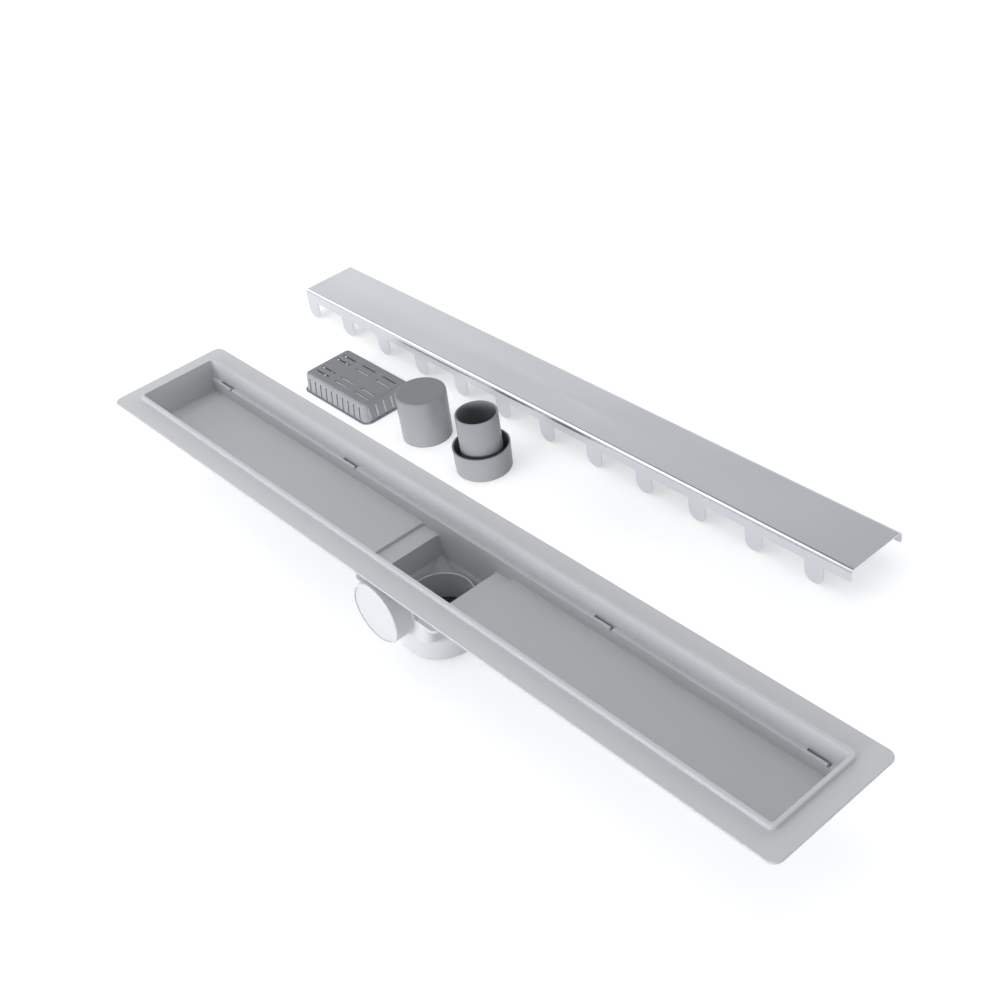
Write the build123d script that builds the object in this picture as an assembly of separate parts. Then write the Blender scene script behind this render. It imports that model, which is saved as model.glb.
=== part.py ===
"""Linear shower drain: channel tray with bell trap, strainer and solid cover.

The channel stands on its pot. The pieces that lift out by hand are laid out behind it
on the same floor, in the order in which they come out. All sizes are in millimetres.
X runs along the channel, the outlet points to -Y, and Z is up from the pot's underside.
"""
from build123d import *
from math import radians, tan
import os

# Layout: True lays the lift-out pieces on the floor, False puts each one in its seat
laid_out = True

# Channel tray, moulded in one piece
rim_length = 700.0        # clear opening inside the lip, along X
rim_width = 70.0          # clear opening inside the lip, along Y
rim_corner = 2.0          # radius of the opening's corners
lip_width = 3.0
lip_height = 3.6          # lip above the flange
lip_round = 0.8
flange_end = 16.0         # flange beyond the lip at each end
flange_side = 17.0        # flange beyond the lip at each long side
flange_corner = 7.0
flange_thickness = 2.0
flange_round = 0.5
tray_wall = 2.0
trough_depth = 30.0       # rim top to trough floor
trough_round = 2.0        # radius where the trough's walls meet its floor
ledge_drop = 17.5         # rim top to ledge
ledge_width = 4.0
ledge_round = 0.8
clip_pocket_length = 19.0
clip_pocket_width = 2.2
clip_pocket_depth = 5.0
clip_notch_depth = 2.5
clip_pocket_places = (145.0, 328.0)   # from the middle of the tray, to both ends
recess_length = 104.0     # recess that takes the strainer's foot
recess_depth = 2.6
sump_length = 68.0        # opening in the recess, along X
sump_corner = 3.0

# Sump liner under the recess, with the round socket and the standpipe's seat
liner_wall = 2.0
shaft_depth = 18.0        # straight part under the tray
funnel_depth = 16.0       # part below it, from square to round
seat_plate = 2.0
seat_bore = 30.0
socket_depth = 23.6       # seat to the rim of the round socket
socket_wall = 1.6         # socket's wall where it stands up in the funnel
socket_rim_round = 0.5

# Trap pot round the liner, moulded with its outlet
pot_wall = 2.0
pot_floor = 2.0
pot_floor_round = 9.0
liner_gap = 0.3           # pot to liner, at the rear and both ends
chamber_height = 9.0      # water way under the seat
duct_depth = 6.0          # water way in front of the liner, up to the outlet
bond_plate = 2.5          # top plate, bonded under the tray
bond_margin = 10.0        # top plate beyond the pot's body at each end
bond_corner = 6.0
section_side_angle = 12.0 # half angle of the round section that faces each flat side
outlet_diameter = 50.0
outlet_wall = 2.0
outlet_chamfer = 0.8
outlet_drop = 30.0        # outlet's axis below the flange's top
outlet_overhang = 2.0     # outlet's end beyond the flange's edge
collar_diameter = 51.8    # the connected pipe stops against this collar
collar_place = 15.5       # outlet's end to the collar's front
collar_chamfer = 0.3
tray_clearance = 0.5      # outlet's inner end to the tray's wall

# Dust plug in the outlet
plug_clearance = 0.15
plug_face = 2.0
plug_skirt = 8.0
plug_wall = 1.5
plug_inset = 0.6          # plug's face inside the outlet's end

# Seal under the standpipe
seal_thickness = 1.5
seal_inner = 35.0
seal_outer = 49.0

# Standpipe with its water cup
standpipe_height = 56.0
standpipe_diameter = 37.5
standpipe_wall = 1.5
cup_diameter = 51.0
cup_height = 24.0
cup_wall = 1.4
cup_floor = 2.0
cup_draft = 0.7           # cup's outer radius lost from top to base
cup_round = 1.2
cup_clearance = 0.4       # cup to socket
pipe_mouth_round = 0.5

# Bell over the standpipe
bell_height = 46.0
bell_gap = 1.4            # bell's rim to the cup's wall
bell_draft = 0.6          # bell's outer radius gained from rim to crown
bell_wall = 1.5
bell_crown = 1.6
bell_round = 2.0
bell_rib_height = 3.5     # ribs stand on the standpipe and leave the overflow open
bell_rib_width = 1.5
bell_rib_reach = 3.0      # ribs run this far inside the standpipe's bore
bell_rib_count = 4

# Strainer over the sump
strainer_wall = 1.2
strainer_height = 19.5
strainer_fit = 1.0        # foot to the recess, each side
strainer_foot = 1.75      # foot beyond the basket's wall
strainer_taper = 6.5      # degrees
strainer_corner = 6.5
strainer_round = 2.5
strainer_clearance = 1.3  # bell's crown to the strainer's top
slot_width = 2.0
slot_pitch = 8.75
slot_margin = 6.0         # least distance from a side's end to its outermost slot
side_slot_length = 13.5
side_slot_base = 1.7      # foot's underside to the slot's lower end
top_slot_length = 20.5
top_slot_pitch = 31.0
top_slot_columns = 3
top_row_inset = 9.8       # top's long edge to the outer row of slots
top_row_gap = 7.4         # outer row to inner row

# Cover, folded from sheet with its feet
cover_sheet = 1.2
cover_bend = 4.0          # outer bend radius
cover_end_gap = 4.0       # cover to rim, each end
cover_fit = 0.6           # cover to the ledges, each side
cover_skirt = 11.0
cover_skirt_round = 2.0
foot_width = 18.0
foot_root_round = 1.0
foot_count = 12
last_foot_inset = 25.0    # last foot from the cover's near end

# Places of the pieces that are laid out
lay_gap = 75.0            # flange to the row of small pieces
lay_shift = 140.0         # from the channel's middle towards its far end
piece_gap = 30.0          # between two pieces

# Heights, from the pot's underside
seat_z = pot_floor + chamber_height + seat_plate
standpipe_z = seat_z + seal_thickness
socket_rim_z = seat_z + socket_depth
pipe_top_z = standpipe_z + standpipe_height
bell_top_z = pipe_top_z + bell_rib_height + bell_crown
strainer_z = bell_top_z + strainer_clearance + strainer_wall - strainer_height
recess_z = strainer_z
floor_z = recess_z + recess_depth
rim_z = floor_z + trough_depth
flange_z = rim_z - lip_height
ledge_z = rim_z - ledge_drop
mouth_z = recess_z - tray_wall
shaft_z = mouth_z - shaft_depth
funnel_z = shaft_z - funnel_depth
outlet_z = flange_z - outlet_drop

# Plan sizes that several pieces share
trough_width = rim_width - 2 * ledge_width
flange_length = rim_length + 2 * (lip_width + flange_end)
flange_width = rim_width + 2 * (lip_width + flange_side)
tray_outer_width = rim_width + 2 * tray_wall
socket_radius = cup_diameter / 2 + cup_clearance
liner_half_width = trough_width / 2 + liner_wall
liner_radius = socket_radius + liner_wall
outlet_end_y = -(flange_width / 2 + outlet_overhang)
bell_rim_radius = cup_diameter / 2 - cup_wall - bell_gap
bell_radius = bell_rim_radius + bell_draft
foot_plan = (recess_length - 2 * strainer_fit, trough_width - 2 * strainer_fit)
cover_length = rim_length - 2 * cover_end_gap
cover_width = trough_width - 2 * cover_fit
cover_height = trough_depth


def block(length, width, low, high, corner=0.0, centre=(0.0, 0.0)):
    """Upright block between two heights, with rounded upright edges where corner is given."""
    if corner:
        plan = RectangleRounded(length, width, corner)
    else:
        plan = Rectangle(length, width)
    return Pos(centre[0], centre[1], low) * extrude(plan, high - low)


def drum(radius, low, high, centre_y=0.0):
    """Upright cylinder between two heights."""
    return Pos(0, centre_y, low) * extrude(Circle(radius), high - low)


def bar(radius, near, far, height):
    """Cylinder along Y between two places, at one height."""
    profile = Plane.XZ * Pos(0, height) * Circle(radius)
    return Pos(0, far, 0) * extrude(profile, far - near)


def soften(solid, tool_edges, radius):
    """Round the given edges."""
    return fillet(tool_edges, radius) if radius else solid


def floor_edges(solid):
    """The edges round a block's underside."""
    return solid.faces().sort_by(Axis.Z)[0].edges()


def top_edges(solid):
    """The edges round a block's top."""
    return solid.faces().sort_by(Axis.Z)[-1].edges()


def square_section(length, width, corner, centre_y, height):
    """Rounded rectangle as four corner arcs and four sides."""
    half_x, half_y = length / 2 - corner, width / 2 - corner
    turns = ((half_x, half_y), (-half_x, half_y), (-half_x, -half_y), (half_x, -half_y))
    arcs = [CenterArc((x, y + centre_y), corner, 90 * i, 90) for i, (x, y) in enumerate(turns)]
    sides = [Line(arcs[i] @ 1, arcs[(i + 1) % 4] @ 0) for i in range(4)]
    return Pos(0, 0, height) * make_face([edge for pair in zip(arcs, sides) for edge in pair])


def round_section(radius, centre_y, height):
    """Circle cut into the same eight spans as a rounded rectangle."""
    half = section_side_angle
    arcs = []
    for i in range(4):
        arcs.append(CenterArc((0, centre_y), radius, 90 * i + half, 90 - 2 * half))
        arcs.append(CenterArc((0, centre_y), radius, 90 * (i + 1) - half, 2 * half))
    return Pos(0, 0, height) * make_face(arcs)


def sump_shape(length, width, corner, centre_y, radius, low):
    """Straight shaft under the tray, a funnel from square to round, and a drum below it."""
    shaft = block(length, width, shaft_z, mouth_z, corner, (0, centre_y))
    upper = square_section(length, width, corner, centre_y, shaft_z)
    lower = round_section(radius, centre_y, funnel_z)
    funnel = loft([lower.faces()[0], upper.faces()[0]], ruled=True)
    return shaft + funnel + drum(radius, low, funnel_z, centre_y)


def clip_pocket(place, side):
    """Blind pocket beside the trough's wall, with a notch out to the ledge's edge."""
    wall = rim_width / 2
    pocket = block(clip_pocket_length, clip_pocket_width, ledge_z - clip_pocket_depth, rim_z,
                   centre=(place, side * (wall - clip_pocket_width / 2)))
    notch_x = place + clip_pocket_length / 2 - clip_pocket_width / 2
    notch = block(clip_pocket_width, ledge_width, ledge_z - clip_notch_depth, rim_z,
                  centre=(notch_x, side * (wall - ledge_width / 2)))
    return pocket + notch


def channel_tray():
    """Flange, lip, trough with its two ledges, and the recess round the sump's opening."""
    flange = block(flange_length, flange_width, flange_z - flange_thickness, flange_z, flange_corner)
    flange = soften(flange, flange.edges().filter_by(Axis.Z, reverse=True), flange_round)
    lip = block(rim_length + 2 * lip_width, rim_width + 2 * lip_width, flange_z, rim_z,
                rim_corner + lip_width)
    lip = soften(lip, top_edges(lip), lip_round)
    trough = block(rim_length + 2 * tray_wall, tray_outer_width, floor_z - tray_wall, flange_z,
                   rim_corner + tray_wall)
    trough = soften(trough, floor_edges(trough), trough_round)
    recess_box = block(recess_length + 2 * tray_wall, tray_outer_width, mouth_z, floor_z,
                       rim_corner + tray_wall)

    upper = block(rim_length, rim_width, ledge_z, rim_z, rim_corner)
    lower = block(rim_length, trough_width, floor_z, rim_z)
    lower = soften(lower, floor_edges(lower), cover_fit)
    recess = block(recess_length, trough_width, recess_z, rim_z, rim_corner)
    opening = block(sump_length, trough_width, mouth_z, rim_z, sump_corner)

    tray = flange + lip + trough + recess_box - upper - lower
    ledges = tray.edges().filter_by(Axis.X).filter_by(
        lambda edge: abs(edge.center().Z - ledge_z) < 1e-6
        and abs(abs(edge.center().Y) - trough_width / 2) < 1e-6)
    tray = soften(tray, ledges, ledge_round) - recess - opening
    for place in clip_pocket_places:
        for side in (-1, 1):
            for end in (-1, 1):
                tray -= clip_pocket(end * place, side)
    return tray


def sump_liner():
    """Thin-walled sump under the recess, with the round socket standing up round the seat."""
    body = sump_shape(sump_length + 2 * liner_wall, 2 * liner_half_width, sump_corner + liner_wall,
                      0, liner_radius, seat_z - seat_plate)
    body -= sump_shape(sump_length, trough_width, sump_corner, 0, socket_radius, seat_z)
    ring = Circle(socket_radius + socket_wall) - Circle(socket_radius)
    socket = Pos(0, 0, funnel_z) * extrude(ring, socket_rim_z - funnel_z)
    body += soften(socket, top_edges(socket), socket_rim_round)
    return body - drum(seat_bore / 2, seat_z - seat_plate, seat_z)


def trap_pot():
    """Pot that the liner hangs in, with the water way in front of it and the outlet."""
    pot_y = (liner_gap - duct_depth) / 2
    room_length = sump_length + 2 * (liner_wall + liner_gap)
    room_width = 2 * liner_half_width + liner_gap + duct_depth
    room_corner = sump_corner + liner_wall + liner_gap
    room_radius = liner_radius + (liner_gap + duct_depth) / 2
    length, width = room_length + 2 * pot_wall, room_width + 2 * pot_wall

    body = sump_shape(length, width, room_corner + pot_wall, pot_y, room_radius + pot_wall, 0)
    body = soften(body, floor_edges(body), pot_floor_round)
    body += block(length + 2 * bond_margin, width, mouth_z - bond_plate, mouth_z, bond_corner,
                  (0, pot_y))
    collar_y = outlet_end_y + collar_place
    pipe = bar(outlet_diameter / 2, outlet_end_y, -liner_half_width, outlet_z)
    pipe = chamfer(pipe.faces().sort_by(Axis.Y)[0].edges(), outlet_chamfer)
    collar = bar(collar_diameter / 2, collar_y, -liner_half_width, outlet_z)
    collar = chamfer(collar.faces().sort_by(Axis.Y)[0].edges(), collar_chamfer)
    stub_y = -(tray_outer_width / 2 + tray_clearance)
    tray_room = block(2 * outlet_diameter, 2 * outlet_diameter, mouth_z, rim_z,
                      centre=(0, stub_y + outlet_diameter))
    body += pipe + collar - tray_room

    room = sump_shape(room_length, room_width, room_corner, pot_y, room_radius, pot_floor)
    room = soften(room, floor_edges(room), pot_floor_round - pot_floor)
    lid_rear = -(liner_half_width + liner_gap)
    lid = block(length, width, mouth_z - bond_plate, mouth_z, centre=(0, lid_rear - width / 2))

    bore_radius = outlet_diameter / 2 - outlet_wall
    bore = bar(bore_radius, outlet_end_y, stub_y - outlet_wall, outlet_z)
    duct_mouth = bar(bore_radius, outlet_end_y, -liner_half_width, outlet_z)
    duct_mouth &= block(outlet_diameter, 2 * outlet_diameter, 0, mouth_z - bond_plate,
                        centre=(0, outlet_end_y))
    return body - (room - lid) - bore - duct_mouth


def outlet_plug():
    """Push-in cup that keeps dust out of the outlet until it is connected."""
    radius = outlet_diameter / 2 - outlet_wall - plug_clearance
    face_y = outlet_end_y + plug_inset
    plug = bar(radius, face_y, face_y + plug_skirt, outlet_z)
    return plug - bar(radius - plug_wall, face_y + plug_face, face_y + plug_skirt, outlet_z)


def seat_seal():
    """Flat rubber ring between the seat and the standpipe's base."""
    ring = Circle(seal_outer / 2) - Circle(seal_inner / 2)
    return Pos(0, 0, seat_z) * extrude(ring, seal_thickness)


def standpipe():
    """Overflow tube and water cup, turned about the same axis, standing on z = 0."""
    pipe_r = standpipe_diameter / 2
    cup_r, base_r = cup_diameter / 2, cup_diameter / 2 - cup_draft
    section = Polyline(
        (pipe_r - standpipe_wall, 0), (base_r, 0), (cup_r, cup_height), (cup_r - cup_wall, cup_height),
        (base_r - cup_wall, cup_floor), (pipe_r, cup_floor), (pipe_r, standpipe_height),
        (pipe_r - standpipe_wall, standpipe_height), close=True)
    body = revolve(Plane.XZ * make_face(section), Axis.Z)
    base_ring = body.edges().filter_by(GeomType.CIRCLE).filter_by(
        lambda edge: abs(edge.radius - base_r) < 1e-6 and edge.center().Z < cup_floor / 2)
    body = fillet(base_ring, cup_round)
    return fillet(body.edges().group_by(Axis.Z)[-1], pipe_mouth_round)


def trap_bell():
    """Cap that stands over the pipe on four ribs under its crown, rim down on z = 0."""
    section = Polyline(
        (0, bell_height), (bell_radius, bell_height), (bell_rim_radius, 0),
        (bell_rim_radius - bell_wall, 0), (bell_radius - bell_wall, bell_height - bell_crown),
        (0, bell_height - bell_crown), close=True)
    body = revolve(Plane.XZ * make_face(section), Axis.Z)
    body = fillet(body.edges().group_by(Axis.Z)[-1], bell_round)
    inner = standpipe_diameter / 2 - standpipe_wall - bell_rib_reach
    outer = bell_radius - bell_wall / 2
    crown = bell_height - bell_crown
    rib = block(outer - inner, bell_rib_width, crown - bell_rib_height, crown + bell_crown / 2,
                centre=((inner + outer) / 2, 0))
    for i in range(bell_rib_count):
        body += Rot(0, 0, 360 / bell_rib_count * i) * rib
    return body


def upright_slots(side_length):
    """Upright slots side by side, as many as one side of the strainer has room for."""
    count = int((side_length - 2 * slot_margin) / slot_pitch) + 1
    slot = SlotOverall(side_slot_length, slot_width, rotation=90)
    return Pos(0, side_slot_base + side_slot_length / 2) * (
        Sketch() + GridLocations(slot_pitch, 0, count, 1) * slot)


def strainer():
    """Tapered basket, open below, with slots in its sides and top, standing on its foot."""
    length, width = (size - 2 * strainer_foot for size in foot_plan)
    outer = extrude(RectangleRounded(length, width, strainer_corner), strainer_height,
                    taper=strainer_taper)
    outer = soften(outer, top_edges(outer), strainer_round)
    inner_plan = RectangleRounded(length - 2 * strainer_wall, width - 2 * strainer_wall,
                                  strainer_corner - strainer_wall)
    inner = extrude(inner_plan, strainer_height - strainer_wall, taper=strainer_taper)
    inner = soften(inner, top_edges(inner), strainer_round - strainer_wall)
    foot = block(foot_plan[0], foot_plan[1], 0, strainer_wall, strainer_corner + strainer_foot)
    basket = outer + foot - inner

    basket -= extrude(Plane.XZ * upright_slots(length), width, both=True)
    basket -= extrude(Plane.YZ * upright_slots(width), length, both=True)
    columns = GridLocations(top_slot_pitch, 0, top_slot_columns, 1)
    top_row = Sketch() + columns * SlotOverall(top_slot_length, slot_width)
    top_half_width = width / 2 - strainer_height * tan(radians(strainer_taper))
    outer_row = top_half_width - top_row_inset
    for row in (outer_row - top_row_gap, outer_row):
        for side in (-1, 1):
            basket -= Pos(0, side * row, strainer_height / 2) * extrude(top_row, strainer_height)
    return basket


def cover():
    """Sheet folded down at both long sides, cut to a skirt with round-ended feet, on z = 0."""
    outer = block(cover_length, cover_width, 0, cover_height)
    outer = soften(outer, top_edges(outer).filter_by(Axis.X), cover_bend)
    inner = block(cover_length, cover_width - 2 * cover_sheet, 0, cover_height - cover_sheet)
    inner = soften(inner, top_edges(inner).filter_by(Axis.X), cover_bend - cover_sheet)
    folded = outer - inner

    skirt = Pos(0, cover_height - cover_skirt / 2) * Rectangle(cover_length, cover_skirt)
    corner = skirt.vertices().group_by(Axis.Y)[0].sort_by(Axis.X)[-1]
    side = fillet(corner, cover_skirt_round)
    first = -cover_length / 2 + foot_width / 2
    pitch = (cover_length - foot_width - last_foot_inset) / (foot_count - 1)
    foot_length = cover_height - cover_skirt / 2
    for i in range(foot_count):
        shaft = Pos(0, foot_length / 2 + foot_width / 4) * Rectangle(foot_width,
                                                                     foot_length - foot_width / 2)
        foot = shaft + Pos(0, foot_width / 2) * Circle(foot_width / 2)
        side += Pos(first + i * pitch, 0) * foot
    skirt_edge = side.vertices().filter_by_position(
        Axis.Y, cover_height - cover_skirt - 0.01, cover_height - cover_skirt + 0.01)
    last_foot = cover_length / 2 - last_foot_inset
    roots = skirt_edge.filter_by_position(Axis.X, 1 - cover_length / 2, last_foot + 0.01)
    side = fillet(roots, foot_root_round)
    return folded & extrude(Plane.XZ * side, cover_width, both=True)


def place(piece, seat, floor_place):
    """Put a lift-out piece on the floor or in its seat."""
    return Pos(*(floor_place if laid_out else seat)) * piece


def lift_out_pieces():
    """The four pieces that come out by hand, each at its place."""
    row_y = flange_width / 2 + lay_gap + foot_plan[1] / 2
    bell_x = -(lay_shift + cup_diameter / 2 + piece_gap + bell_radius)
    strainer_x = bell_x - bell_radius - piece_gap - foot_plan[0] / 2
    cover_y = row_y + foot_plan[1] / 2 + piece_gap + cover_width / 2
    bell_z = bell_top_z - bell_height
    return {
        "standpipe": place(standpipe(), (0, 0, standpipe_z), (-lay_shift, row_y, 0)),
        "trap_bell": place(trap_bell(), (0, 0, bell_z), (bell_x, row_y, 0)),
        "strainer": place(strainer(), (0, 0, strainer_z), (strainer_x, row_y, 0)),
        "cover": place(cover(), (0, 0, floor_z), (-lay_shift, cover_y, 0)),
    }


def all_pieces():
    """Every separate piece of the drain by its name."""
    fixed = {
        "channel_tray": channel_tray(),
        "sump_liner": sump_liner(),
        "trap_pot": trap_pot(),
        "outlet_plug": outlet_plug(),
        "seat_seal": seat_seal(),
    }
    return {**fixed, **lift_out_pieces()}


os.makedirs("parts", exist_ok=True)
pieces = all_pieces()
for name, piece in pieces.items():
    piece.label = name
    export_step(piece, f"parts/{name}.step")
    print(f"{name}: {piece.volume / 1000:.1f} cm3, {len(piece.solids())} solid(s)")
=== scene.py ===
"""Linear shower drain: the channel on its pot, with its lift-out pieces laid out behind it."""
import math

import bmesh
import bpy
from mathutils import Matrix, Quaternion, Vector


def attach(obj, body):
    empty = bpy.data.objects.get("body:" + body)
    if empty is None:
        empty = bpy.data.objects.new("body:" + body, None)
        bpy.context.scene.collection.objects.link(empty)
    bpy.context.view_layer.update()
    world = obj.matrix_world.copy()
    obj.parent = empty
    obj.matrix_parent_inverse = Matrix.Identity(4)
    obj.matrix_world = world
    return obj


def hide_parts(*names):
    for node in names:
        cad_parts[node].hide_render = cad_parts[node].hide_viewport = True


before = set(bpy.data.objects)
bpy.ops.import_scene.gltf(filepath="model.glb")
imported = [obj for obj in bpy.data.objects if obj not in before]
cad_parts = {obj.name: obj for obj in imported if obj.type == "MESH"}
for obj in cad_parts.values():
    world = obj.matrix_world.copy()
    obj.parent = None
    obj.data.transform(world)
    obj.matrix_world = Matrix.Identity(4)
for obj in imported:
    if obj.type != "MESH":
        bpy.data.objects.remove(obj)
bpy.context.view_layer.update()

# Camera at the photograph's place, in metres, degrees and millimetres
camera_place = (0.7184, -0.4537, 0.7515)
camera_azimuth = -53.979
camera_elevation = 36.858
camera_roll = 8.993
camera_lens = 53.62
camera_sensor = 36.0
camera_range = (0.01, 50.0)

# Soft lobes of light, each by its azimuth and height in degrees, its strength and its sharpness
sky_lobes = (
    (270, 6, 17.0, 30),
    (90, 11, 4.4, 14),
    (135, 11, 2.2, 14),
    (180, 11, 2.0, 14),
    (0, 11, 1.2, 14),
    (45, 11, 1.4, 14),
    (243, 42, 3.5, 60),
    (0, 90, 1.4, 6),
)
sky_base = 0.05
sky_tint = (0.975, 0.985, 1.0, 1)

# Backdrop for the camera and for reflections, white low down and dim overhead, and the lobe in it
# that the cover's front bend shows as a bright line
backdrop_tone = (1, 1, 1, 1)
backdrop_low, backdrop_zenith = 1.0, 0.2
backdrop_heights = (0.47, 0.84)
bend_lobes = ((203, 46, 3.0, 40),)

# Lamp over the channel's far end
overhead_place = (-0.45, -0.12, 0.65)
overhead_size = 0.5
overhead_power = 0.6

# Low sun on the small lift-out pieces
side_lamp_from = (0.50, -0.87, 0.06)
side_lamp_strength = 4.3
side_lamp_spread = math.radians(20)
side_lit = ("standpipe", "trap_bell", "strainer")

# Floor, which glows for the camera and reflections alone
floor_tone = (0.80, 0.80, 0.80, 1)
floor_glow = 0.38
floor_size = 12.0

# Softened edges, in metres and radians
edge_round = 0.00015
edge_segments = 2
weld_distance = 1e-6
flat_angle = math.radians(0.5)
sharp_angle = math.radians(35)

# How far roughness follows the pattern, and the middle that a noise swings about
grain_roughness_swing = 0.05
brush_roughness_swing = 0.12
noise_middle = 0.5


# Nodes

def add_node(tree, kind, **settings):
    """Node with its settings; a setting named after an input sets that input."""
    node = tree.nodes.new(kind)
    for key, value in settings.items():
        if key in node.inputs:
            node.inputs[key].default_value = value
        else:
            setattr(node, key, value)
    return node


def math_node(tree, operation, *operands):
    """Output of a math node; each operand is a number or a socket."""
    node = add_node(tree, "ShaderNodeMath", operation=operation)
    for place, value in enumerate(operands):
        if isinstance(value, (int, float)):
            node.inputs[place].default_value = value
        else:
            tree.links.new(value, node.inputs[place])
    return node.outputs[0]


def cleared_tree(owner):
    """Empty node tree of a material or world."""
    owner.use_nodes = True
    owner.node_tree.nodes.clear()
    return owner.node_tree


def seen_directly(tree):
    """1 where the camera, a reflection or a clear piece looks, and 0 for the light on surfaces."""
    rays = add_node(tree, "ShaderNodeLightPath")
    seen = math_node(tree, "MAXIMUM", rays.outputs["Is Camera Ray"], rays.outputs["Is Glossy Ray"])
    return math_node(tree, "MAXIMUM", seen, rays.outputs["Is Transmission Ray"])


def add_lobes(tree, direction, lobes, total):
    """Soft lobes of light added to a strength."""
    for azimuth, height, strength, sharpness in lobes:
        azimuth, height = math.radians(azimuth), math.radians(height)
        toward = add_node(tree, "ShaderNodeVectorMath", operation="DOT_PRODUCT")
        tree.links.new(direction, toward.inputs[0])
        toward.inputs[1].default_value = (math.cos(azimuth) * math.cos(height),
                                          math.sin(azimuth) * math.cos(height), math.sin(height))
        near = math_node(tree, "MAXIMUM", toward.outputs["Value"], 0.0)
        lobe = math_node(tree, "MULTIPLY", math_node(tree, "POWER", near, sharpness), strength)
        total = math_node(tree, "ADD", lobe, total)
    return total


# Finishes

def finish_group(name, inputs):
    """Shader node group that puts out a colour, a roughness and a bump's height."""
    group = bpy.data.node_groups.new(name, "ShaderNodeTree")
    for socket, kind, value in inputs:
        made = group.interface.new_socket(socket, in_out="INPUT", socket_type=kind)
        made.default_value = value
    for socket, kind in (("Color", "NodeSocketColor"), ("Roughness", "NodeSocketFloat"),
                         ("Height", "NodeSocketFloat")):
        group.interface.new_socket(socket, in_out="OUTPUT", socket_type=kind)
    return group, group.nodes.new("NodeGroupInput"), group.nodes.new("NodeGroupOutput")


def put_out(group, given, out, gain, roughness_shift, height):
    """Tone times its gain, shifted roughness and the bump's height as the group's outputs."""
    tone = add_node(group, "ShaderNodeVectorMath", operation="SCALE")
    group.links.new(given.outputs["Tone"], tone.inputs[0])
    group.links.new(gain, tone.inputs["Scale"])
    rough = math_node(group, "ADD", given.outputs["Roughness"], roughness_shift)
    group.links.new(tone.outputs[0], out.inputs["Color"])
    group.links.new(rough, out.inputs["Roughness"])
    group.links.new(height, out.inputs["Height"])


def moulded_grain():
    """Fine bump and slow tone drift of a moulded plastic skin."""
    group, given, out = finish_group(
        "moulded_grain",
        [("Tone", "NodeSocketColor", (0.5, 0.5, 0.5, 1)), ("Drift", "NodeSocketFloat", 0.04),
         ("Grain Scale", "NodeSocketFloat", 900.0), ("Roughness", "NodeSocketFloat", 0.5)])
    place = add_node(group, "ShaderNodeTexCoord").outputs["Object"]
    slow = add_node(group, "ShaderNodeTexNoise", Scale=14.0, Detail=3.0, Roughness=0.55)
    fine = add_node(group, "ShaderNodeTexNoise", Detail=2.0, Roughness=0.6)
    group.links.new(place, slow.inputs["Vector"])
    group.links.new(place, fine.inputs["Vector"])
    group.links.new(given.outputs["Grain Scale"], fine.inputs["Scale"])
    swing = math_node(group, "MULTIPLY_ADD", slow.outputs["Fac"], 2.0, -1.0)
    gain = math_node(group, "ADD", math_node(group, "MULTIPLY", swing, given.outputs["Drift"]), 1.0)
    put_out(group, given, out, gain, math_node(group, "MULTIPLY", swing, grain_roughness_swing),
            fine.outputs["Fac"])
    return group


def brushed_lines():
    """Long fine lines along X, as a sanding belt leaves on sheet, and a slow tone drift."""
    group, given, out = finish_group(
        "brushed_lines",
        [("Tone", "NodeSocketColor", (0.6, 0.6, 0.6, 1)), ("Contrast", "NodeSocketFloat", 0.08),
         ("Roughness", "NodeSocketFloat", 0.3), ("Length", "NodeSocketFloat", 4.0),
         ("Width", "NodeSocketFloat", 2500.0), ("Drift", "NodeSocketFloat", 0.1)])
    place = add_node(group, "ShaderNodeTexCoord").outputs["Object"]
    scale = add_node(group, "ShaderNodeCombineXYZ")
    group.links.new(given.outputs["Length"], scale.inputs["X"])
    group.links.new(given.outputs["Width"], scale.inputs["Y"])
    group.links.new(given.outputs["Width"], scale.inputs["Z"])
    stretched = add_node(group, "ShaderNodeVectorMath", operation="MULTIPLY")
    group.links.new(place, stretched.inputs[0])
    group.links.new(scale.outputs[0], stretched.inputs[1])
    lines = add_node(group, "ShaderNodeTexNoise", Scale=1.0, Detail=4.0, Roughness=0.7)
    slow = add_node(group, "ShaderNodeTexNoise", Scale=9.0, Detail=1.0, Roughness=0.5)
    group.links.new(stretched.outputs[0], lines.inputs["Vector"])
    group.links.new(place, slow.inputs["Vector"])
    swing = math_node(group, "SUBTRACT", lines.outputs["Fac"], noise_middle)
    drift = math_node(group, "MULTIPLY", math_node(group, "SUBTRACT", slow.outputs["Fac"], noise_middle),
                      given.outputs["Drift"])
    gain = math_node(group, "ADD", math_node(group, "MULTIPLY", swing, given.outputs["Contrast"]), 1.0)
    put_out(group, given, out, math_node(group, "ADD", gain, drift),
            math_node(group, "MULTIPLY", swing, brush_roughness_swing), lines.outputs["Fac"])
    return group


materials = {}


def add_finish(name, group, values, bump_height, **shader):
    """Material whose colour, roughness and bump come from one of the groups above."""
    material = bpy.data.materials.new(name)
    tree = cleared_tree(material)
    effect = add_node(tree, "ShaderNodeGroup", node_tree=group)
    for key, value in values.items():
        effect.inputs[key].default_value = value
    surface = add_node(tree, "ShaderNodeBsdfPrincipled", **shader)
    bump = add_node(tree, "ShaderNodeBump", Strength=1.0, Distance=bump_height)
    target = add_node(tree, "ShaderNodeOutputMaterial")
    tree.links.new(effect.outputs["Color"], surface.inputs["Base Color"])
    tree.links.new(effect.outputs["Roughness"], surface.inputs["Roughness"])
    tree.links.new(effect.outputs["Height"], bump.inputs["Height"])
    tree.links.new(bump.outputs["Normal"], surface.inputs["Normal"])
    tree.links.new(surface.outputs[0], target.inputs["Surface"])
    materials[name] = material


grain_group = moulded_grain()
brush_group = brushed_lines()

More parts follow.
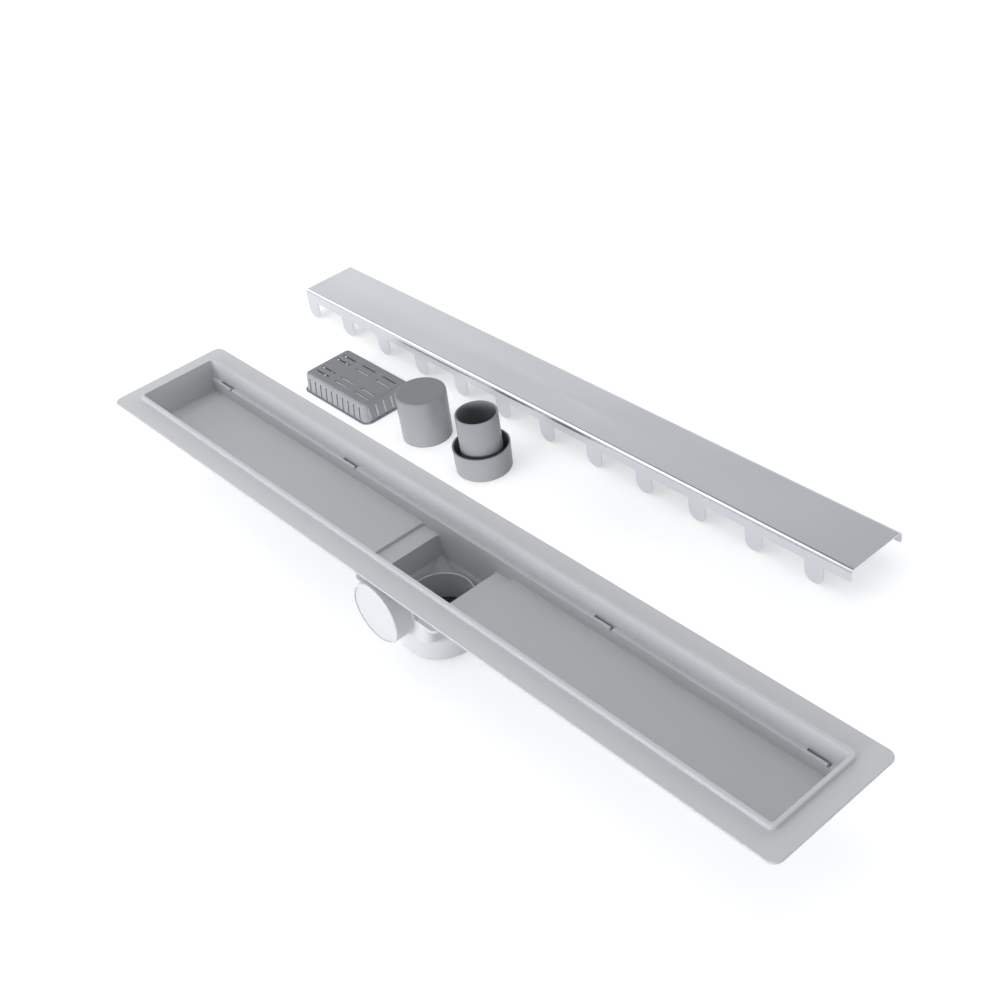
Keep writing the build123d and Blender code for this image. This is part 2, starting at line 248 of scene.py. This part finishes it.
add_finish(
    "tray_plastic", grain_group,
    {"Tone": (0.535, 0.543, 0.56, 1), "Drift": 0.025, "Grain Scale": 1400.0, "Roughness": 0.48},
    bump_height=0.00002)
add_finish(
    "pot_plastic", grain_group,
    {"Tone": (0.655, 0.67, 0.695, 1), "Drift": 0.015, "Grain Scale": 900.0, "Roughness": 0.32},
    bump_height=0.00001)
add_finish(
    "plug_plastic", grain_group,
    {"Tone": (0.635, 0.645, 0.665, 1), "Drift": 0.01, "Grain Scale": 900.0, "Roughness": 0.4},
    bump_height=0.00001)
add_finish(
    "trap_plastic", grain_group,
    {"Tone": (0.165, 0.173, 0.184, 1), "Drift": 0.025, "Grain Scale": 1200.0, "Roughness": 0.32},
    bump_height=0.00001, **{"Specular IOR Level": 0.7})
add_finish(
    "seal_rubber", grain_group,
    {"Tone": (0.03, 0.03, 0.03, 1), "Drift": 0.1, "Grain Scale": 1500.0, "Roughness": 0.7},
    bump_height=0.00003)
add_finish(
    "cover_steel", brush_group,
    {"Tone": (0.635, 0.655, 0.69, 1), "Contrast": 0.16, "Roughness": 0.21, "Length": 6.0,
     "Width": 2600.0, "Drift": 0.12},
    bump_height=0.000003, Metallic=1.0, Anisotropic=0.5)


# Pieces

def new_object(name, data):
    """Object with its mesh, lamp or camera, in the scene."""
    made = bpy.data.objects.new(name, data)
    bpy.context.collection.objects.link(made)
    return made


def mesh_object(name, mesh):
    """Object made from a finished bmesh."""
    data = bpy.data.meshes.new(name)
    mesh.to_mesh(data)
    mesh.free()
    return new_object(name, data)


def softened_copy(node, slot):
    """The node's own shape with its sharp edges rounded, in its finish."""
    mesh = bmesh.new()
    mesh.from_mesh(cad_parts[node].data)
    bmesh.ops.remove_doubles(mesh, verts=mesh.verts, dist=weld_distance)
    bmesh.ops.dissolve_limit(mesh, angle_limit=flat_angle, verts=mesh.verts, edges=mesh.edges)
    sharp = [edge for edge in mesh.edges
             if len(edge.link_faces) == 2 and edge.calc_face_angle() > sharp_angle]
    bmesh.ops.bevel(mesh, geom=sharp, offset=edge_round, offset_type="OFFSET", segments=edge_segments,
                    profile=0.5, affect="EDGES", material=-1, clamp_overlap=True)
    for face in mesh.faces:
        face.smooth = True
    piece = mesh_object(f"{node}_skin", mesh)
    piece.modifiers.new("even_normals", "WEIGHTED_NORMAL").keep_sharp = True
    piece.data.materials.append(materials[slot])
    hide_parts(node)
    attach(piece, "root")
    return piece


piece_slots = {
    "channel_tray": "tray_plastic",
    "sump_liner": "tray_plastic",
    "trap_pot": "pot_plastic",
    "outlet_plug": "plug_plastic",
    "seat_seal": "seal_rubber",
    "standpipe": "trap_plastic",
    "trap_bell": "trap_plastic",
    "strainer": "trap_plastic",
    "cover": "cover_steel",
}
pieces = {node: softened_copy(node, slot) for node, slot in piece_slots.items()}


# Floor, sky, lamps and camera

def studio_floor():
    """Pale floor that shows white to the camera and keeps the shadows."""
    mesh = bmesh.new()
    bmesh.ops.create_grid(mesh, x_segments=1, y_segments=1, size=floor_size / 2)
    floor = mesh_object("studio_floor", mesh)
    material = bpy.data.materials.new("studio_floor")
    tree = cleared_tree(material)
    matt = add_node(tree, "ShaderNodeBsdfDiffuse", Color=floor_tone)
    glow = add_node(tree, "ShaderNodeEmission")
    both = add_node(tree, "ShaderNodeAddShader")
    target = add_node(tree, "ShaderNodeOutputMaterial")
    tree.links.new(math_node(tree, "MULTIPLY", seen_directly(tree), floor_glow), glow.inputs["Strength"])
    tree.links.new(matt.outputs[0], both.inputs[0])
    tree.links.new(glow.outputs[0], both.inputs[1])
    tree.links.new(both.outputs[0], target.inputs["Surface"])
    floor.data.materials.append(material)


def studio_sky():
    """Soft lobes light the pieces; the camera and reflections see the backdrop."""
    world = bpy.data.worlds.new("studio_sky")
    bpy.context.scene.world = world
    tree = cleared_tree(world)
    direction = add_node(tree, "ShaderNodeTexCoord").outputs["Generated"]
    sky = add_node(tree, "ShaderNodeBackground", Color=sky_tint)
    tree.links.new(add_lobes(tree, direction, sky_lobes, sky_base), sky.inputs["Strength"])

    split = add_node(tree, "ShaderNodeSeparateXYZ")
    tree.links.new(direction, split.inputs[0])
    fade = add_node(tree, "ShaderNodeMapRange",
                    **{"From Min": backdrop_heights[0], "From Max": backdrop_heights[1],
                       "To Min": backdrop_low, "To Max": backdrop_zenith})
    tree.links.new(split.outputs["Z"], fade.inputs["Value"])
    backdrop = add_node(tree, "ShaderNodeBackground", Color=backdrop_tone)
    tree.links.new(add_lobes(tree, direction, bend_lobes, fade.outputs[0]), backdrop.inputs["Strength"])

    mix = add_node(tree, "ShaderNodeMixShader")
    target = add_node(tree, "ShaderNodeOutputWorld")
    tree.links.new(seen_directly(tree), mix.inputs[0])
    tree.links.new(sky.outputs[0], mix.inputs[1])
    tree.links.new(backdrop.outputs[0], mix.inputs[2])
    tree.links.new(mix.outputs[0], target.inputs["Surface"])


def overhead_lamp():
    """Soft lamp over the channel's far end, which the photograph shows brighter."""
    lamp = bpy.data.lights.new("overhead_lamp", "AREA")
    lamp.energy = overhead_power
    lamp.size = overhead_size
    new_object("overhead_lamp", lamp).location = overhead_place


def side_lamp():
    """Low soft sun on the small lift-out pieces alone, as the photograph lights their sides."""
    lit = bpy.data.collections.new("side_lit")
    for node in side_lit:
        lit.objects.link(pieces[node])
    lamp = bpy.data.lights.new("side_lamp", "SUN")
    lamp.energy = side_lamp_strength
    lamp.angle = side_lamp_spread
    holder = new_object("side_lamp", lamp)
    holder.location = side_lamp_from
    holder.rotation_mode = "QUATERNION"
    holder.rotation_quaternion = (-Vector(side_lamp_from)).to_track_quat("-Z", "Y")
    holder.visible_glossy = False
    holder.light_linking.receiver_collection = lit
    holder.light_linking.blocker_collection = lit


def photo_camera():
    """Camera at the photograph's place, angle and roll."""
    camera = bpy.data.cameras.new("photo_camera")
    camera.lens = camera_lens
    camera.sensor_width = camera_sensor
    camera.clip_start, camera.clip_end = camera_range
    azimuth, elevation = math.radians(camera_azimuth), math.radians(camera_elevation)
    forward = Vector((math.sin(azimuth) * math.cos(elevation), math.cos(azimuth) * math.cos(elevation),
                      -math.sin(elevation)))
    roll = Quaternion((0, 0, 1), -math.radians(camera_roll))
    holder = new_object("photo_camera", camera)
    holder.location = camera_place
    holder.rotation_mode = "QUATERNION"
    holder.rotation_quaternion = forward.to_track_quat("-Z", "Y") @ roll
    bpy.context.scene.camera = holder


studio_floor()
studio_sky()
photo_camera()
overhead_lamp()
side_lamp()

bpy.context.scene.view_settings.view_transform = "Standard"
